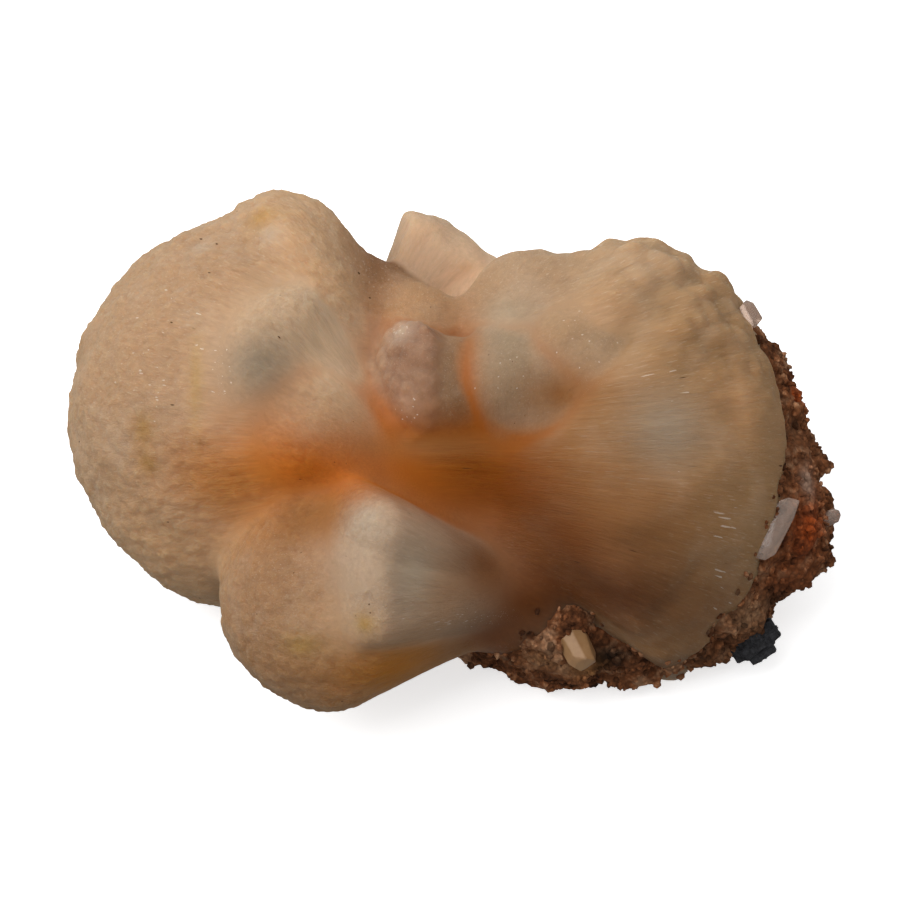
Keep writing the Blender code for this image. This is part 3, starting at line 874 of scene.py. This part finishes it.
placed = add(group, "GeometryNodeInstanceOnPoints", {
    "Points": spread.outputs["Points"], "Instance": crumb.outputs["Mesh"], "Rotation": turned.outputs[0],
    "Scale": sized.outputs[0],
})
own_tone = add(group, "FunctionNodeRandomValue", {
    2: given["Darkest"], 3: given["Palest"], 8: TONE_DRAW,
}, data_type="FLOAT")
toned = add(group, "GeometryNodeStoreNamedAttribute", {
    "Geometry": placed.outputs[0], "Name": "tone", "Value": own_tone.outputs[1],
}, data_type="FLOAT", domain="INSTANCE")
real = add(group, "GeometryNodeRealizeInstances", {0: toned.outputs[0]})
dressed = add(group, "GeometryNodeSetMaterial", {"Geometry": real.outputs[0], "Material": matrix})
add(group, "NodeGroupOutput", {"Crumbs": dressed.outputs[0]})
sprinkle = crumbs.modifiers.new("crumbs", "NODES")
sprinkle.node_group = group
sockets = {item.name: item.identifier for item in group.interface.items_tree}
for name, value in {**crumb_measures, "Seed": CRUMB_SEED}.items():
    sprinkle[sockets[name]] = value
settle(crumbs)
colour, weight = stained(read_points(crumbs.data), crust_tree, CRUST_STAINS_AND_SHADOWS)
paint_vectors(crumbs.data, "stain", colour)
paint_numbers(crumbs.data, "stained", weight)
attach(crumbs, "root")

# The chip: a splinter of the host basalt, broken along rough flat faces and still stuck in the crust.
CHIP_AXIS = (3, 2, 1)
# Half sizes in millimetres, the width of a break as a share of them, how far the breaks wander, the shares
# of the broken and of the round form, and how many bumps to the radius with their heights
CHIP_SIZES = (3.7, 3.0, 2.9)
CHIP_BREAKS = 0.55
CHIP_WANDER = 0.2
CHIP_FLAT_SHARE = 0.45
CHIP_ROUND_SHARE = 0.62
CHIP_BUMPS = ((4, 0.10), (11, 0.06))
CHIP_SUBDIVISIONS = 5
CHIP_SEED = 3


def middle_of(node):
    return (np.array(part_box(node)[0]) + np.array(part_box(node)[1])) / 2


def own_axes(along):
    """Three directions in the view: along the crystal, across it, and the third square to both."""
    along = unit(along)
    across = unit(np.cross((0.0, 0.0, 1.0), along))
    return np.array([along, across, np.cross(along, across)])


shape = bmesh.new()
made = bmesh.ops.create_icosphere(shape, subdivisions=CHIP_SUBDIVISIONS, radius=1)["verts"]
ball = np.array([v.co for v in made])
noise.seed_set(CHIP_SEED)
wandering = ball / CHIP_BREAKS + CHIP_WANDER * sampled(3 * ball, noise.noise_vector)
rough = CHIP_FLAT_SHARE * np.round(wandering) * CHIP_BREAKS + CHIP_ROUND_SHARE * ball
rough *= (1 + sum(height * sampled(across * ball, noise.noise) for across, height in CHIP_BUMPS))[:, None]
centre = to_view(middle_of("basalt_chip"))
for vertex, point in zip(made, to_world(centre + (rough * CHIP_SIZES) @ own_axes(CHIP_AXIS))):
    vertex.co = point
chip = new_object("basalt_splinter", shape)
# Fine-grained basalt: near black and dull, with a faint sheen where it broke clean
basalt, tree, output = new_material("basalt, freshly broken")
place = add(tree, "ShaderNodeTexCoord").outputs["Object"]
speckle = add(tree, "ShaderNodeTexNoise", {"Vector": place, "Scale": 1400, "Detail": 4, "Roughness": 0.7})
ramp = add(tree, "ShaderNodeValToRGB", {"Fac": speckle.outputs["Fac"]})
ramp.color_ramp.elements[0].position = 0.35
ramp.color_ramp.elements[0].color = (*linear("101013"), 1)
ramp.color_ramp.elements[1].position = 0.75
ramp.color_ramp.elements[1].color = (*linear("3E3E42"), 1)
bump = add(tree, "ShaderNodeBump", {"Height": speckle.outputs["Fac"], "Strength": 1.0, "Distance": 0.0004})
shader = add(tree, "ShaderNodeBsdfPrincipled", {
    "Base Color": ramp.outputs["Color"], "Roughness": 0.7, "IOR": 1.6, "Normal": bump.outputs[0],
    "Specular IOR Level": 0.3,
})
tree.links.new(shader.outputs[0], output.inputs["Surface"])
chip.data.materials.append(basalt)
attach(chip, "root")
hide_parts("basalt_chip")

# The small crystals: three colourless ones and a beige stub, each a short prism with bevelled ends, grown
# on the crust. For each: the node it stands for, its direction in the view, its half sizes along it,
# across it and in its thickness, its number of sides, and how far its end faces are drawn in.
CRYSTALS = {
    "clear_prism_top": ("clear_crystal_top", (1, -2, 0), (1.9, 1.5, 1.4), 5, 0.5),
    "clear_plate_side": ("clear_crystal_side", (3, 5, -1), (4.7, 1.9, 0.8), 5, 0.5),
    "clear_prism_tip": ("clear_crystal_tip", (2, 1, 0), (1.8, 1.2, 1.2), 6, 0.4),
    "beige_stub": ("stub_crystal", (1, -2, 1), (3.0, 2.1, 2.0), 7, 0.75),
}
# The prism's own length before its end faces begin, how uneven the corners are, the angle in radians under
# which two faces count as one, and the bevel in millimetres
END_SHARE = 0.72
UNEVEN_BY = 0.5
UNEVEN_ROW = 3
SAME_FACE_ANGLE = 0.02
EDGE_BEVEL = 0.08


def crystal_material(name, tint, cloud_tint, transmission, roughness):
    """A crystal that lets part of the light straight through, with a milky cloud inside."""
    material, tree, output = new_material(name)
    place = add(tree, "ShaderNodeTexCoord").outputs["Object"]
    cloud = add(tree, "ShaderNodeTexNoise", {"Vector": place, "Scale": 900, "Detail": 4})
    cloudy = add(tree, "ShaderNodeMix", {
        "Factor": cloud.outputs["Fac"], 6: (*linear(tint), 1), 7: (*linear(cloud_tint), 1),
    }, data_type="RGBA")
    shader = add(tree, "ShaderNodeBsdfPrincipled", {
        "Base Color": cloudy.outputs[2], "Roughness": roughness, "IOR": 1.5,
        "Transmission Weight": transmission,
    })
    tree.links.new(shader.outputs[0], output.inputs["Surface"])
    return material


clear_crystal = crystal_material("clear zeolite, glassy crystal faces", "C6A48E", "E2CFC0", 0.7, 0.2)
beige_crystal = crystal_material("beige calcite, etched faces", "9A7048", "B08A60", 0.15, 0.45)
for name, (node, along, sizes, sides, drawn_in) in CRYSTALS.items():
    shape = bmesh.new()
    corners = []
    for level, width in ((-1, drawn_in), (-END_SHARE, 1), (END_SHARE, 1), (1, drawn_in)):
        for side in range(sides):
            turn = 2 * math.pi * (side + 0.5) / sides
            corners.append((level, width * math.cos(turn), width * math.sin(turn)))
    own_cells = [Vector((corner, len(name), UNEVEN_ROW)) for corner in range(len(corners))]
    uneven = 1 + UNEVEN_BY * (sampled(own_cells, noise.cell_vector) - 0.5)
    local = np.array(corners) * uneven * sizes
    for point in to_world(to_view(middle_of(node)) + local @ own_axes(along)):
        shape.verts.new(point)
    bmesh.ops.convex_hull(shape, input=shape.verts)
    bmesh.ops.dissolve_limit(shape, angle_limit=SAME_FACE_ANGLE, verts=shape.verts, edges=shape.edges)
    bmesh.ops.bevel(shape, geom=shape.edges[:], offset=EDGE_BEVEL * MM, segments=2, affect="EDGES")
    bmesh.ops.recalc_face_normals(shape, faces=shape.faces)
    crystal = new_object(name, shape)
    crystal.data.materials.append(beige_crystal if node == "stub_crystal" else clear_crystal)
    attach(crystal, "root")
    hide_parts(node)

# The white table: a plain sheet of opal glass, lit a little from below, so that only the contact shadow
# shows. It doesn't throw its light back at the specimen.
TABLE_HALF_SIDE = 1.5
TABLE_GLOW = 0.62
shape = bmesh.new()
bmesh.ops.create_grid(shape, x_segments=1, y_segments=1, size=TABLE_HALF_SIDE)
floor = new_object("white_table", shape)
table_top, tree, output = new_material("opal glass, matt")
shader = add(tree, "ShaderNodeBsdfPrincipled", {
    "Base Color": (*linear("F4F4F4"), 1), "Roughness": 0.9,
    "Emission Color": (1, 1, 1, 1), "Emission Strength": TABLE_GLOW,
})
tree.links.new(shader.outputs[0], output.inputs["Surface"])
floor.data.materials.append(table_top)
floor.visible_diffuse = False
floor.visible_glossy = False

# Studio light: one big soft lamp above and to the left, and a dim surround that is darker below.
SURROUND_ABOVE = 0.58
SURROUND_BELOW = 0.24
KEY_PLACE = Vector((-0.42, -0.10, 0.82))
KEY_SIZE = 0.9
KEY_POWER = 7.5
world = bpy.data.worlds.new("dim surround")
bpy.context.scene.world = world
world.use_nodes = True
tree = world.node_tree
height = add(tree, "ShaderNodeSeparateXYZ", {0: add(tree, "ShaderNodeTexCoord").outputs["Generated"]})
level = add(tree, "ShaderNodeMapRange", {
    "Value": height.outputs["Z"], "From Min": -0.3, "From Max": 0.4, "To Min": SURROUND_BELOW,
    "To Max": SURROUND_ABOVE,
})
tree.links.new(level.outputs[0], tree.nodes["Background"].inputs["Strength"])
tree.nodes["Background"].inputs["Color"].default_value = (1, 1, 1, 1)
waist = Vector(WAIST_POINT) * MM
lamp = bpy.data.lights.new("key", "AREA")
lamp.energy = KEY_POWER
lamp.size = KEY_SIZE
key = bpy.data.objects.new("key", lamp)
key.location = KEY_PLACE
key.rotation_euler = (waist - KEY_PLACE).to_track_quat("-Z", "Y").to_euler()
bpy.context.scene.collection.objects.link(key)

# The camera looks down at 50 degrees from the front, through a long lens, with the specimen filling the
# frame as in the photograph.
PHOTO_PIXELS = 900
MM_PER_PIXEL = 0.156
LENS = 135
SENSOR = 36
AIM = (3.12, -0.78, 0)
camera = bpy.data.objects.new("camera", bpy.data.cameras.new("camera"))
camera.data.lens = LENS
camera.data.sensor_width = SENSOR
view_line = Vector((0, math.cos(LEAN_BACK), -math.sin(LEAN_BACK)))
camera.location = Vector(to_world(AIM)) - view_line * (PHOTO_PIXELS * MM_PER_PIXEL * MM * LENS / SENSOR)
camera.rotation_euler = view_line.to_track_quat("-Z", "Y").to_euler()
bpy.context.scene.collection.objects.link(camera)
bpy.context.scene.camera = camera
bpy.context.scene.view_settings.view_transform = "Standard"
